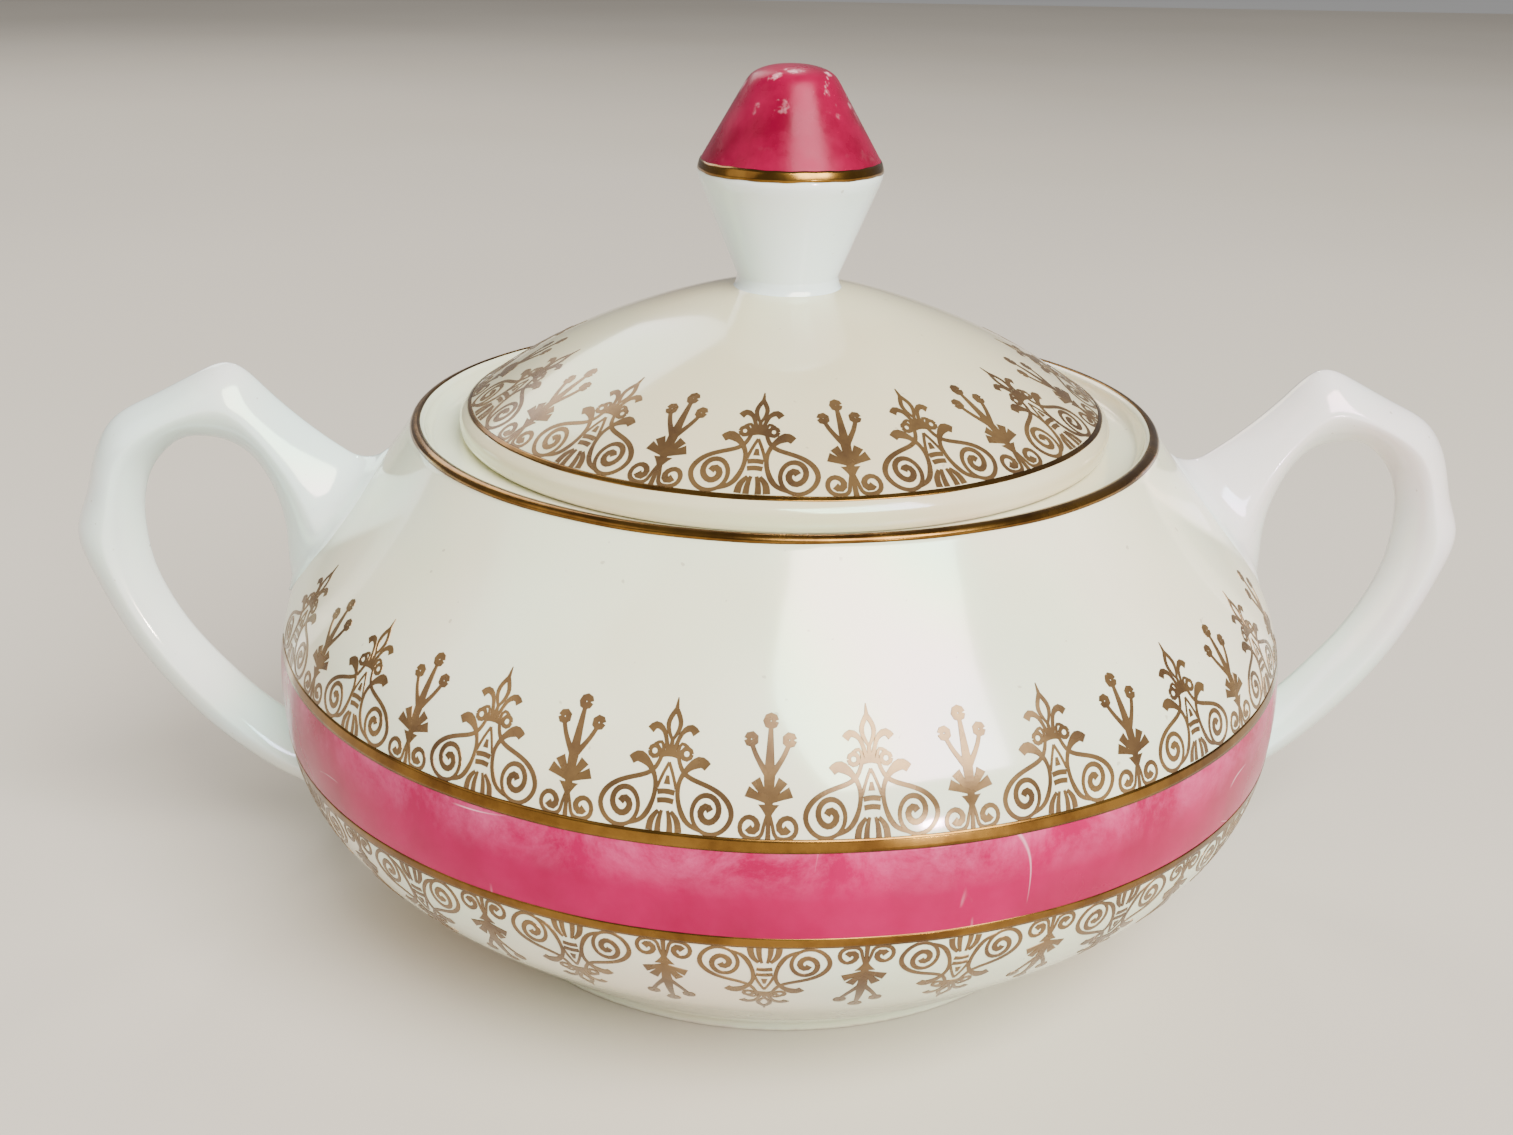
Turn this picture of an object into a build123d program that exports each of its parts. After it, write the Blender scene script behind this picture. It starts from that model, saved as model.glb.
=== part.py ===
"""Covered sugar bowl in glazed porcelain: a squat bowl on a foot ring with two luted
loop handles, and a domed lid with a luted double-cone knob that rests in the mouth.

Units are millimetres. +Z is up, the foot ring stands on Z = 0, the bowl's axis is the
Z axis, and the handles lie along +X and -X.
"""
import os
from math import cos, copysign, pi, sin

from build123d import *

# ---- bowl --------------------------------------------------------------------------
RIM_Z = 63.3            # height of the mouth's crest
RIM_R = 45.6            # outside radius at the mouth
RIM_WALL = 1.8          # wall thickness at the mouth's crest
BELLY_R = 62.6          # widest radius of the bowl
BELLY_Z = 31.0          # height of the widest point
WALL = 3.0              # thickness of the cast wall
FOOT_R = 40.0           # outside radius of the foot ring
FOOT_WIDTH = 3.4        # width of the foot ring's standing face
FOOT_RECESS = 1.8       # how far the base is recessed inside the foot ring
FLOOR_Z = 5.0           # inside floor of the bowl

# ---- lid seat ----------------------------------------------------------------------
SEAT_Z = 61.1           # ledge inside the mouth that carries the lid
SEAT_OUTER_R = 43.0     # outside radius of the ledge, where the collar rises to the crest
SEAT_INNER_R = 37.8     # inside radius of the ledge
SEAT_DEPTH = 2.2        # thickness of the ledge at its inner edge

# ---- lid ---------------------------------------------------------------------------
LIP_R = 39.7            # outside radius of the lid's rounded lip
LIP_TOP_Z = 64.6        # where the dome meets the lip
LIP_ROUND = 0.9         # radius of the lip's edges
DOME_TOP_Z = 79.2       # top of the dome, under the knob
DOME_WALL = 3.2         # thickness of the dome
FLANGE_R = 36.9         # outside radius of the locating flange under the lid
FLANGE_WALL = 2.4       # thickness of the flange
FLANGE_BOTTOM_Z = 56.2  # lower edge of the flange

# ---- knob --------------------------------------------------------------------------
KNOB_TOP_Z = 104.4      # top of the knob, and of the whole object
KNOB_FOOT_R = 6.7       # radius of the fillet that spreads onto the dome
KNOB_NECK_R = 6.1       # narrowest radius, just above the dome
KNOB_BELT_R = 10.7      # radius of the edges of the belt between the two cones
KNOB_BELT_BULGE = 0.27  # how far the middle of the belt stands out past its edges
KNOB_BELT_Z = 92.3      # middle of the belt
KNOB_BELT_HEIGHT = 2.4  # height of the belt
KNOB_TIP_R = 5.6        # radius where the upper cone turns into the rounded tip
KNOB_TIP_HEIGHT = 2.2   # height of the rounded tip

# ---- handles -----------------------------------------------------------------------
SECTION_POWER = 1.45    # cross-section: 1 is a sharp lozenge, 2 is an ellipse
SIDE_POINTS = 8         # steps in the curve down each side of a cross-section

# Each station is the inner point, the outer point and the half width of the handle in
# one cross-section, from the upper root round the finger loop to the lower root. The
# points are (distance from the bowl's axis, height).
HANDLE_STATIONS = [
    ((56.0, 43.5), (48.0, 53.0), 7.6),   # buried in the shoulder
    ((61.2, 42.6), (51.6, 55.9), 7.2),   # flared upper root
    ((62.2, 47.5), (55.6, 58.7), 5.8),
    ((63.3, 52.8), (59.7, 62.0), 4.9),
    ((65.5, 56.8), (63.5, 65.7), 4.5),
    ((68.6, 58.9), (67.3, 68.6), 4.5),   # thumb corner, the highest point
    ((71.6, 59.4), (71.3, 67.4), 4.5),
    ((75.0, 58.4), (77.5, 64.2), 4.4),
    ((77.4, 56.0), (82.0, 61.5), 4.4),   # second corner
    ((78.8, 53.0), (84.9, 56.6), 4.3),
    ((79.4, 49.8), (86.4, 51.6), 4.3),
    ((79.4, 46.4), (87.9, 47.2), 4.4),   # outer nub, the widest point
    ((78.9, 42.6), (86.8, 41.9), 4.3),
    ((77.6, 38.8), (84.9, 36.9), 4.2),
    ((75.8, 35.2), (82.7, 32.2), 4.1),
    ((73.4, 31.6), (79.9, 27.6), 4.1),
    ((70.6, 28.2), (76.6, 23.2), 4.1),
    ((67.9, 25.2), (72.9, 19.2), 4.2),
    ((65.4, 22.9), (68.9, 15.7), 4.5),
    ((63.0, 21.0), (64.4, 12.7), 5.0),
    ((60.4, 19.4), (59.6, 10.7), 5.7),   # flared lower root
    ((57.4, 17.9), (54.8, 9.8), 6.3),
    ((54.4, 16.6), (50.2, 9.9), 6.7),
    ((51.4, 15.4), (46.0, 11.0), 6.8),   # buried in the belly's underside
]


def revolved(*edges):
    """Solid of revolution about Z from edges drawn as (radius, height)."""
    outline = edges[0]
    for edge in edges[1:]:
        outline += edge
    return revolve(make_face(Plane.XZ * outline), Axis.Z)


def bowl_outside():
    """Outside of the bowl, from the foot ring up to the mouth, as one smooth curve."""
    return Spline(
        (FOOT_R, 1.2),
        (45.2, 5.4),
        (51.2, 10.6),
        (56.9, 15.9),
        (60.6, 21.2),
        (BELLY_R, BELLY_Z),
        (60.9, 42.0),
        (57.4, 47.6),
        (52.9, 52.9),
        (48.9, 57.8),
        (RIM_R, RIM_Z - RIM_WALL / 2),
    )


def bowl_inside():
    """Inside of the bowl, one wall thickness in, from under the ledge to the floor."""
    return Spline(
        (45.4, 56.4),
        (49.0, 52.3),
        (53.6, 46.9),
        (57.2, 41.0),
        (BELLY_R - WALL, BELLY_Z),
        (57.5, 21.6),
        (53.0, 15.9),
        (46.0, 9.8),
        (37.0, FLOOR_Z + 0.7),
        (26.0, FLOOR_Z),
    )


def bowl_envelope():
    """The bowl as if it were solid: what the handles are trimmed against."""
    return revolved(
        bowl_outside(),
        Polyline(
            (RIM_R, RIM_Z - RIM_WALL / 2),
            (0, RIM_Z - RIM_WALL / 2),
            (0, 0),
            (FOOT_R, 0),
            (FOOT_R, 1.2),
        ),
    )


def bowl_body():
    """Cast bowl with a rounded rim, the ledge for the lid and a recessed base."""
    crest_r = RIM_R - RIM_WALL / 2
    inner_r = RIM_R - RIM_WALL
    foot_inner_r = FOOT_R - FOOT_WIDTH
    rim = ThreePointArc(
        (RIM_R, RIM_Z - RIM_WALL / 2),
        (crest_r, RIM_Z),
        (inner_r, RIM_Z - RIM_WALL / 2),
    )
    ledge = Polyline(
        (inner_r, RIM_Z - RIM_WALL / 2),
        (SEAT_OUTER_R, SEAT_Z),
        (SEAT_INNER_R, SEAT_Z),
        (SEAT_INNER_R, SEAT_Z - SEAT_DEPTH),
        (45.4, 56.4),
    )
    floor_and_foot = Polyline(
        (26.0, FLOOR_Z),
        (0, FLOOR_Z),
        (0, FOOT_RECESS),
        (foot_inner_r - 1.0, FOOT_RECESS),
        (foot_inner_r, 0),
        (FOOT_R - 0.5, 0),
        (FOOT_R, 0.5),
        (FOOT_R, 1.2),
    )
    return revolved(bowl_outside(), rim, ledge, bowl_inside(), floor_and_foot)


def handle_section(inner, outer, half_width):
    """Rounded lozenge with its long corners on the inner and outer points."""
    inner_point = Vector(inner[0], 0, inner[1])
    outer_point = Vector(outer[0], 0, outer[1])
    across = outer_point - inner_point
    half_depth = across.length / 2
    plane = Plane(
        origin=(inner_point + outer_point) / 2,
        x_dir=across,
        z_dir=across.cross(Vector(0, 1, 0)),
    )
    back_side = []
    for step in range(SIDE_POINTS + 1):
        angle = pi * step / SIDE_POINTS
        x = copysign(abs(cos(angle)) ** (2 / SECTION_POWER), cos(angle))
        y = sin(angle) ** (2 / SECTION_POWER)
        back_side.append((half_depth * x, half_width * y))
    front_side = [(-x, -y) for x, y in back_side]
    return plane * make_face(Spline(*back_side) + Spline(*front_side))


def handle():
    """Handle on the +X side, trimmed to the outside of the bowl."""
    loop = loft([handle_section(*station) for station in HANDLE_STATIONS])
    return loop - bowl_envelope()


def dome_outside():
    """Top of the lid, from the axis out to the lip."""
    return Spline(
        (0, DOME_TOP_Z),
        (7.0, 78.6),
        (14.0, 76.8),
        (21.0, 74.3),
        (28.0, 71.2),
        (34.0, 67.8),
        (LIP_R - LIP_ROUND, LIP_TOP_Z),
        tangents=[(1, 0), (1, -0.7)],
    )


def lid_dome():
    """Hollow dome with a rounded lip and a locating flange that drops into the mouth."""
    lip = Polyline(
        (LIP_R - LIP_ROUND, LIP_TOP_Z),
        (LIP_R, LIP_TOP_Z - LIP_ROUND),
        (LIP_R, SEAT_Z + LIP_ROUND),
        (LIP_R - LIP_ROUND, SEAT_Z),
        (FLANGE_R, SEAT_Z),
        (FLANGE_R, FLANGE_BOTTOM_Z + 0.6),
        (FLANGE_R - 0.6, FLANGE_BOTTOM_Z),
        (FLANGE_R - FLANGE_WALL + 0.6, FLANGE_BOTTOM_Z),
        (FLANGE_R - FLANGE_WALL, FLANGE_BOTTOM_Z + 0.6),
        (FLANGE_R - FLANGE_WALL, SEAT_Z + 2.4),
    )
    dome_inside = Spline(
        (FLANGE_R - FLANGE_WALL, SEAT_Z + 2.4),
        (28.0, 67.6),
        (20.0, 71.3),
        (10.0, 74.4),
        (0, DOME_TOP_Z - DOME_WALL),
        tangents=[(-0.8, 0.6), (-1, 0)],
    )
    axis_line = Line((0, DOME_TOP_Z - DOME_WALL), (0, DOME_TOP_Z))
    return revolved(dome_outside(), lip, dome_inside, axis_line)


def lid_knob():
    """Solid knob of two cones joined by a belt, seated on the top of the dome."""
    belt_low = KNOB_BELT_Z - KNOB_BELT_HEIGHT / 2
    belt_high = KNOB_BELT_Z + KNOB_BELT_HEIGHT / 2
    foot = (KNOB_FOOT_R, DOME_TOP_Z - 0.8)
    neck = (KNOB_NECK_R, DOME_TOP_Z + 0.9)
    tip_edge = (KNOB_TIP_R, KNOB_TOP_Z - KNOB_TIP_HEIGHT)
    foot_fillet = Spline(foot, neck, tangents=[(-1, 0.4), (0.1, 1)])
    lower_cone = Line(neck, (KNOB_BELT_R, belt_low))
    belt = ThreePointArc(
        (KNOB_BELT_R, belt_low),
        (KNOB_BELT_R + KNOB_BELT_BULGE, KNOB_BELT_Z),
        (KNOB_BELT_R, belt_high),
    )
    upper_cone = Line((KNOB_BELT_R, belt_high), tip_edge)
    tip = Spline(
        tip_edge,
        (0.64 * KNOB_TIP_R, KNOB_TOP_Z - 0.55),
        (0, KNOB_TOP_Z),
        tangents=[(-0.5, 1), (-1, 0)],
    )
    core = Polyline(
        (0, KNOB_TOP_Z),
        (0, DOME_TOP_Z - 2.0),
        (KNOB_FOOT_R, DOME_TOP_Z - 2.0),
        foot,
    )
    blank = revolved(foot_fillet, lower_cone, belt, upper_cone, tip, core)
    return blank - lid_dome()


def main():
    right_handle = handle()
    nodes = {
        "bowl_body": bowl_body(),
        "handle_right": right_handle,
        "handle_left": mirror(right_handle, about=Plane.YZ),
        "lid_dome": lid_dome(),
        "lid_knob": lid_knob(),
    }
    os.makedirs("parts", exist_ok=True)
    for name, shape in nodes.items():
        solid = max(shape.solids(), key=lambda piece: piece.volume)
        solid.label = name
        export_step(solid, f"parts/{name}.step")


main()
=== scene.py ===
"""Covered porcelain sugar bowl: ivory glaze with a pearl lustre, a raspberry band,
gold lines and printed gold filigree, and a carmine tip on the lid's knob.

The frame is in metres. Sizes of the object and the camera's place are given here in
millimetres and scaled by MM; the lights, the floor and the relief in the materials are
given in metres. Angles round the bowl run from its front, -Y, towards +X.
"""
from copy import copy
from math import cos, radians, sin, tau

import bpy
import numpy as np
from mathutils import Matrix, Vector


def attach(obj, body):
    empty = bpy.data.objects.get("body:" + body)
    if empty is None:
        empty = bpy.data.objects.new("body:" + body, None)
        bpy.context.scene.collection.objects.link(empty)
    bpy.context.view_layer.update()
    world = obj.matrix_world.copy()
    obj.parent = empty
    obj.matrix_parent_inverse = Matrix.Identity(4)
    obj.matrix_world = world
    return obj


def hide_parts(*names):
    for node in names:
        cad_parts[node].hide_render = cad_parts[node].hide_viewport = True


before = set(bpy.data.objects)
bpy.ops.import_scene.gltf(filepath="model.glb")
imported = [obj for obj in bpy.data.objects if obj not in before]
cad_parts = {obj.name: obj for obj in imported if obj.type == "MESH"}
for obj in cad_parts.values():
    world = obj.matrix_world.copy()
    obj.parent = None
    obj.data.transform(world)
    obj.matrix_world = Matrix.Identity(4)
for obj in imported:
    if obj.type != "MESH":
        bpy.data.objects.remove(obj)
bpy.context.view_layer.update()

MM = 0.001
TURNS = 360                   # steps round a body of revolution
FULL_TURN = [(0, 360)]        # a film that runs all the way round

# ---- bowl ----
RIM_Z = 63.3
RIM_R = 45.6
RIM_WALL = 1.8
FOOT_R = 40.0
FOOT_WIDTH = 3.4
FOOT_SLOPE = 1.0              # how far the foot ring's inner face leans in
FOOT_TOP_Z = 1.2              # where the foot ring turns into the bowl's outside
FOOT_RECESS = 1.8
FLOOR_Z = 5.0
SEAT_Z = 61.1                 # ledge that carries the lid
SEAT_OUTER_R = 43.0
SEAT_INNER_R = 37.8
SEAT_DEPTH = 2.2
EDGE_ROUND = 0.5              # how far glaze rounds the edges of the ledge and the foot

# (radius, height) up the bowl's outside, from foot to rim
BOWL_OUTSIDE = [
    (FOOT_R, FOOT_TOP_Z), (45.2, 5.4), (51.2, 10.6), (56.9, 15.9), (60.6, 21.2), (62.6, 31.0),
    (60.9, 42.0), (57.4, 47.6), (52.9, 52.9), (48.9, 57.8), (RIM_R, RIM_Z - RIM_WALL / 2),
]
# (radius, height) down its inside, from under the ledge to the floor
BOWL_INSIDE = [
    (45.4, 56.4), (49.0, 52.3), (53.6, 46.9), (57.2, 41.0), (59.6, 31.0), (57.5, 21.6),
    (53.0, 15.9), (46.0, 9.8), (37.0, 5.7), (26.0, FLOOR_Z),
]

# ---- lid and knob ----
LIP_R = 39.7
LIP_TOP_Z = 64.6
LIP_ROUND = 0.9
DOME_TOP_Z = 79.2
DOME_WALL = 3.2
FLANGE_R = 36.9
FLANGE_WALL = 2.4
FLANGE_BOTTOM_Z = 56.2
FLANGE_TOP_Z = SEAT_Z + 2.4   # where the flange's inner face meets the inside of the dome
# (radius, height) from the dome's middle out to its lip
DOME_OUTSIDE = [
    (0.0, DOME_TOP_Z), (7.0, 78.6), (14.0, 76.8), (21.0, 74.3), (28.0, 71.2), (34.0, 67.8),
    (LIP_R - LIP_ROUND, LIP_TOP_Z),
]
# (radius, height) from the flange in to the middle
DOME_INSIDE = [
    (FLANGE_R - FLANGE_WALL, FLANGE_TOP_Z), (28.0, 67.6), (20.0, 71.3), (10.0, 74.4),
    (0.0, DOME_TOP_Z - DOME_WALL),
]
KNOB_ROOT_Z = 77.0            # the knob's underside, sunk in the dome
KNOB_ROOT_R = 6.9
KNOB_TOP_Z = 104.4
KNOB_BELT_R = 10.7
KNOB_BELT_BULGE = 0.27
KNOB_BELT_LOW = 91.1
KNOB_BELT_HIGH = 93.5
KNOB_NECK = (6.1, 80.1)
KNOB_TIP = (5.6, 102.2)       # where the upper cone turns into the rounded tip
# (radius, height) up the fillet at the knob's foot, and over its rounded tip
KNOB_FOOT_CURVE = [(KNOB_ROOT_R, 78.3), (6.45, 78.75), (6.2, 79.4), KNOB_NECK]
KNOB_TIP_CURVE = [KNOB_TIP, (4.85, 103.2), (3.6, 103.9), (1.9, 104.3), (0.0, KNOB_TOP_Z)]
KNOB_EDGE_ROUND = 0.8         # how far glaze rounds the edges of its belt

# ---- handles ----
SECTION_POWER = 1.45          # 2 would make a cross-section an ellipse, and 1 a lozenge
HANDLE_AROUND = 56            # steps round a handle
HANDLE_ALONG = 190            # and along it
# inner point, outer point and half width of each cross-section, down from the upper root
HANDLE_STATIONS = [
    ((56.0, 43.5), (48.0, 53.0), 7.6),
    ((61.2, 42.6), (51.6, 55.9), 7.2),
    ((62.2, 47.5), (55.6, 58.7), 5.8),
    ((63.3, 52.8), (59.7, 62.0), 4.9),
    ((65.5, 56.8), (63.5, 65.7), 4.5),
    ((68.6, 58.9), (67.3, 68.6), 4.5),
    ((71.6, 59.4), (71.3, 67.4), 4.5),
    ((75.0, 58.4), (77.5, 64.2), 4.4),
    ((77.4, 56.0), (82.0, 61.5), 4.4),
    ((78.8, 53.0), (84.9, 56.6), 4.3),
    ((79.4, 49.8), (86.4, 51.6), 4.3),
    ((79.4, 46.4), (87.9, 47.2), 4.4),
    ((78.9, 42.6), (86.8, 41.9), 4.3),
    ((77.6, 38.8), (84.9, 36.9), 4.2),
    ((75.8, 35.2), (82.7, 32.2), 4.1),
    ((73.4, 31.6), (79.9, 27.6), 4.1),
    ((70.6, 28.2), (76.6, 23.2), 4.1),
    ((67.9, 25.2), (72.9, 19.2), 4.2),
    ((65.4, 22.9), (68.9, 15.7), 4.5),
    ((63.0, 21.0), (64.4, 12.7), 5.0),
    ((60.4, 19.4), (59.6, 10.7), 5.7),
    ((57.4, 17.9), (54.8, 9.8), 6.3),
    ((54.4, 16.6), (50.2, 9.9), 6.7),
    ((51.4, 15.4), (46.0, 11.0), 6.8),
]
LUTE_FILLET = 3.6             # fillet where a handle is luted to the bowl
BURIED = 1.2                  # how deep a handle's roots are sunk in the bowl's wall

# ---- painted bands and gold lines ----
UPPER_GOLD = (37.2, 38.6)     # heights of the two gold bands
LOWER_GOLD = (26.5, 27.7)
KNOB_GOLD = (92.5, 93.7)      # heights of the gold line round the knob's belt
LID_GOLD = (0.75, 0.1)        # how far in from the dome's edge the lid's gold line starts and ends
BAND_HALF_SPAN = 78.0         # degrees that the bands run to each side of the front
BAND_OVERLAP = 0.3            # how far the raspberry runs in under each gold band
RIM_GOLD_ARC = (3, 120)       # degrees of the rim's rounded crest that its gold line covers
END_GAP = 0.1                 # glaze left bare at each end of that arc
# how far each film is lifted along its profile's normal, and how thick it is
RASPBERRY_FILM = (0.03, 0.06)
GOLD_BAND_FILM = (0.06, 0.1)
RIM_LINE_FILM = (0.03, 0.08)
LID_LINE_FILM = (0.04, 0.09)  # the dome's normal points in, so this one's underside shows
KNOB_LINE_FILM = (0.05, 0.1)
FILM_STEP = 0.4               # spacing of a film's vertices across it

# ---- printed filigree ----
PRINT_MOTIFS = 16             # palmettes and sprigs, by turns, in each row of a half
PRINT_STEP = 9.35             # degrees from one motif to the next
PRINT_START = -69.9           # angle of the first motif of a row
PRINT_OVERLAP = 0.1           # how far a row's feet stand in on its gold band
LID_MOTIFS = 22
LID_PRINT_START = -8.7
LID_PRINT_FOOT = 0.7          # how far in from the dome's edge the lid's motifs stand
BOWL_PRINT_STRETCH = (1.0, 1.05)      # how much wider and taller than drawn the print comes out
LID_PRINT_STRETCH = (1.06, 1.16)
PRINT_WEIGHT = 1.22           # how much heavier than drawn its lines come out
# a line's cross-section: lifts along the profile's normal, which on the dome points in, so
# that the lid's print lies the other way up, flat and 0.03 off the glaze
PRINT_RISE = 0.05             # lift of a line's flat side
PRINT_SINK = -0.03            # lift of its two edges
PRINT_BEVEL = 0.06            # width of the slope from each edge to the flat side
THINNEST = 0.02               # least half width of the flat side


# ======================================================================= curves
def natural_spline(points, count):
    """Smooth curve through the points, as count samples evenly spread along it."""
    points = np.array(points, float)
    knots = np.r_[0, np.cumsum(np.linalg.norm(np.diff(points, axis=0), axis=1))]
    size = len(points)
    step = np.diff(knots)
    system = np.eye(size)
    target = np.zeros_like(points)
    for i in range(1, size - 1):
        system[i, i - 1:i + 2] = step[i - 1], 2 * (step[i - 1] + step[i]), step[i]
        slope_after = (points[i + 1] - points[i]) / step[i]
        slope_before = (points[i] - points[i - 1]) / step[i - 1]
        target[i] = 6 * (slope_after - slope_before)
    bend = np.linalg.solve(system, target)
    where = np.linspace(0, knots[-1], count)
    i = np.clip(np.searchsorted(knots, where, side="right") - 1, 0, size - 2)
    h = step[i][:, None]
    a = (knots[i + 1] - where)[:, None]
    b = (where - knots[i])[:, None]
    return (
        (bend[i] * a ** 3 + bend[i + 1] * b ** 3) / (6 * h)
        + (points[i] / h - bend[i] * h / 6) * a
        + (points[i + 1] / h - bend[i + 1] * h / 6) * b
    )


def arc(centre, radius, start, end, count):
    """Points on an arc in (radius, height), with its angles in degrees."""
    angles = np.radians(np.linspace(start, end, count))
    return np.c_[centre[0] + radius * np.cos(angles), centre[1] + radius * np.sin(angles)]


def round_corners(points, radius, count=5):
    """The polyline with each corner replaced by a small smooth curve."""
    points = [np.array(p, float) for p in points]
    out = [points[0]]
    for before, corner, after in zip(points, points[1:], points[2:]):
        back = before - corner
        ahead = after - corner
        reach = min(radius, 0.45 * np.linalg.norm(back), 0.45 * np.linalg.norm(ahead))
        start = corner + back / np.linalg.norm(back) * reach
        end = corner + ahead / np.linalg.norm(ahead) * reach
        for t in np.linspace(0, 1, count):
            out.append((1 - t) ** 2 * start + 2 * t * (1 - t) * corner + t * t * end)
    out.append(points[-1])
    return np.array(out)


class Profile:
    """A body of revolution's outline, read by distance along it.

    Its normal is to the right of the way that the outline runs. That is off the glaze on the
    bowl, its rim and the knob, and into the glaze on the dome, whose outline runs downwards.
    """

    def __init__(self, points):
        self.points = np.array(points, float)
        steps = np.linalg.norm(np.diff(self.points, axis=0), axis=1)
        self.length = np.r_[0, np.cumsum(steps)]
        tangent = np.gradient(self.points, self.length, axis=0)
        tangent /= np.linalg.norm(tangent, axis=1)[:, None]
        self.normal = np.c_[tangent[:, 1], -tangent[:, 0]]

    def at(self, distance, lift=0.0):
        """(radius, height) at that distance, moved by lift along the normal."""
        spots = []
        for axis in (0, 1):
            on_curve = np.interp(distance, self.length, self.points[:, axis])
            off_curve = np.interp(distance, self.length, self.normal[:, axis])
            spots.append(on_curve + lift * off_curve)
        return spots

    def distance_at_height(self, height):
        """Distance along a profile that only rises."""
        order = np.argsort(self.points[:, 1])
        return float(np.interp(height, self.points[order, 1], self.length[order]))

    def distance_at_radius(self, radius):
        """Distance along a profile that only widens or only narrows."""
        order = np.argsort(self.points[:, 0])
        return float(np.interp(radius, self.points[order, 0], self.length[order]))


# ======================================================================= meshes
def new_object(name, vertices, faces, material, body, smooth=True):
    """Mesh object from millimetre vertices, riding on a CAD body."""
    mesh = bpy.data.meshes.new(name)
    mesh.from_pydata((np.asarray(vertices) * MM).tolist(), [], faces)
    mesh.validate()
    mesh.update()
    mesh.polygons.foreach_set("use_smooth", [smooth] * len(mesh.polygons))
    mesh.materials.append(material)
    obj = bpy.data.objects.new(name, mesh)
    bpy.context.scene.collection.objects.link(obj)
    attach(obj, body)
    return obj


def on_turn(radius, height, angle):
    """Point at that angle from the front (-Y) towards +X."""
    return np.stack([radius * np.sin(angle), -radius * np.cos(angle), height], axis=-1)


def lathe(name, outline, material, body):
    """Closed solid of revolution from an outline that starts and ends on the axis."""
    outline = np.array(outline, float)
    rings = outline[1:-1]
    angles = np.arange(TURNS) * tau / TURNS
    still = np.zeros(TURNS)
    vertices = np.concatenate([on_turn(r + still, z + still, angles) for r, z in rings])
    first_pole = len(vertices)
    vertices = np.vstack([vertices, [0, 0, outline[0][1]], [0, 0, outline[-1][1]]])
    faces = []
    following = [(i + 1) % TURNS for i in range(TURNS)]
    for ring in range(len(rings) - 1):
        low = ring * TURNS
        high = low + TURNS
        for i, j in enumerate(following):
            faces.append((low + i, low + j, high + j, high + i))
    last = (len(rings) - 1) * TURNS
    for i, j in enumerate(following):
        faces.append((first_pole, j, i))
        faces.append((first_pole + 1, last + i, last + j))
    return new_object(name, vertices, faces, material, body)


def hand_sway(angle, slow, middle, fast):
    """Unevenness of a line painted by hand on a turning wheel, from -2 to 2.

    slow is a (waves in a turn, phase) pair; middle and fast are waves in a turn.
    """
    return sin(slow[0] * angle + slow[1]) + 0.6 * sin(middle * angle) + 0.4 * sin(fast * angle)


def skin(name, profile, reach, film, material, body, spans, wobble=0.0):
    """Thin closed film on a body of revolution.

    reach is its (start, end) distances along the profile, and film its lift along the
    profile's normal and its thickness. spans lists (first, last) angles in degrees; a span
    of 360 closes on itself. wobble is the unevenness of its edges.
    """
    start, end = reach
    lift, depth = film
    across = max(5, int((end - start) / FILM_STEP) + 1)
    vertices = []
    faces = []
    for first, last in spans:
        closed = last - first >= 360
        count = TURNS if closed else max(8, int(TURNS * (last - first) / 360))
        angles = np.radians(np.linspace(first, last, count, endpoint=not closed))
        base = len(vertices)
        loop = 2 * across
        for angle in angles:
            start_sway = wobble * hand_sway(angle, (3, 1), 8, 19)
            end_sway = wobble * hand_sway(angle, (2, 2), 7, 23)
            spread = np.linspace(start + start_sway, end + end_sway, across)
            top = profile.at(spread, lift)
            under = profile.at(spread[::-1], lift - depth)
            for r, z in zip(np.r_[top[0], under[0]], np.r_[top[1], under[1]]):
                vertices.append(on_turn(r, z, angle))
        for i in range(count if closed else count - 1):
            here = base + i * loop
            there = base + ((i + 1) % count) * loop
            for k in range(loop):
                m = (k + 1) % loop
                faces.append((here + k, there + k, there + m, here + m))
        if not closed:
            faces.append(tuple(base + k for k in range(loop)))
            end_base = base + (count - 1) * loop
            faces.append(tuple(end_base + k for k in reversed(range(loop))))
    return new_object(name, vertices, faces, material, body)


# ======================================================================= filigree
class Stroke:
    """A flat ribbon in a motif's own plane: x sideways, y away from the band.

    width is one number, or several spread evenly from its first point to its last.
    """

    STEP = 0.34               # spacing of the samples along it

    def __init__(self, points, width, smooth=True):
        points = np.array(points, float)
        reach = np.linalg.norm(np.diff(points, axis=0), axis=1).sum()
        count = max(3, int(reach / self.STEP) + 1)
        if smooth and len(points) > 2:
            self.centre = natural_spline(points, count)
        else:
            where = np.linspace(0, len(points) - 1, count)
            self.centre = np.column_stack(
                [np.interp(where, range(len(points)), column) for column in points.T])
        widths = PRINT_WEIGHT * np.atleast_1d(width)
        self.width = np.interp(np.linspace(0, 1, count), np.linspace(0, 1, len(widths)), widths)

    def mirrored(self):
        """The same ribbon on the motif's other side."""
        twin = copy(self)
        twin.centre = self.centre * [-1, 1]
        return twin


def ring(centre, radius, width):
    """Round ribbon."""
    turn = np.linspace(0, tau, 13)
    points = np.c_[centre[0] + radius * np.cos(turn), centre[1] + radius * np.sin(turn)]
    return Stroke(points, width)


def both_sides(strokes):
    """The strokes with their mirror images."""
    return strokes + [stroke.mirrored() for stroke in strokes]


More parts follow.
